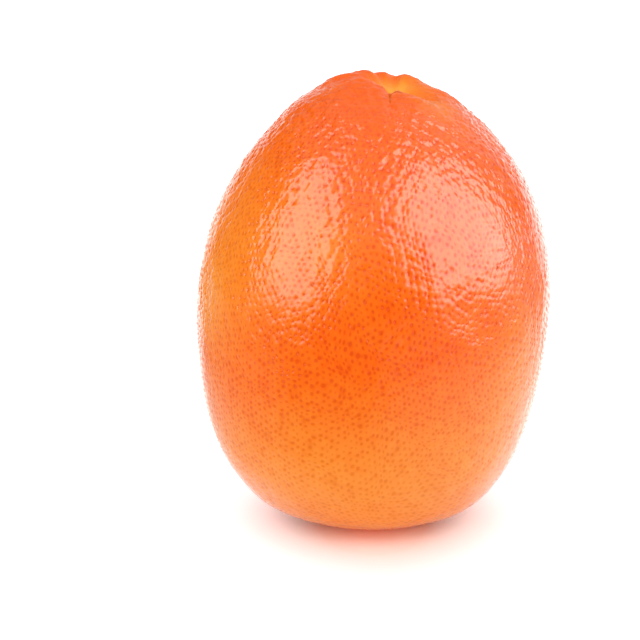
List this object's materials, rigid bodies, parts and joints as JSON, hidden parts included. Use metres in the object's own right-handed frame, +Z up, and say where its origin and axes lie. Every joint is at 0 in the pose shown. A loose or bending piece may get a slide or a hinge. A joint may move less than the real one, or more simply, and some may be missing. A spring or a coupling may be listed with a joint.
{
  "type": "grapefruit",
  "caption": "Whole tall grapefruit with dimpled peel, a lobed stem end round a small recess, and a small flat spot at the blossom end that it stands on.",
  "frame": {"origin": "middle of the flat spot at the blossom end, on the surface that the fruit stands on", "axes": "+Z up through the stem end, +X to the side that the stem scar is nearer to, -Y towards the viewer of the picture"},
  "size_m": [0.0991, 0.0989, 0.125],
  "materials": {
    "peel": "waxy sheen"
  },
  "bodies": {
    "root": {"grapefruit": "peel"}
  },
  "joints": []
}
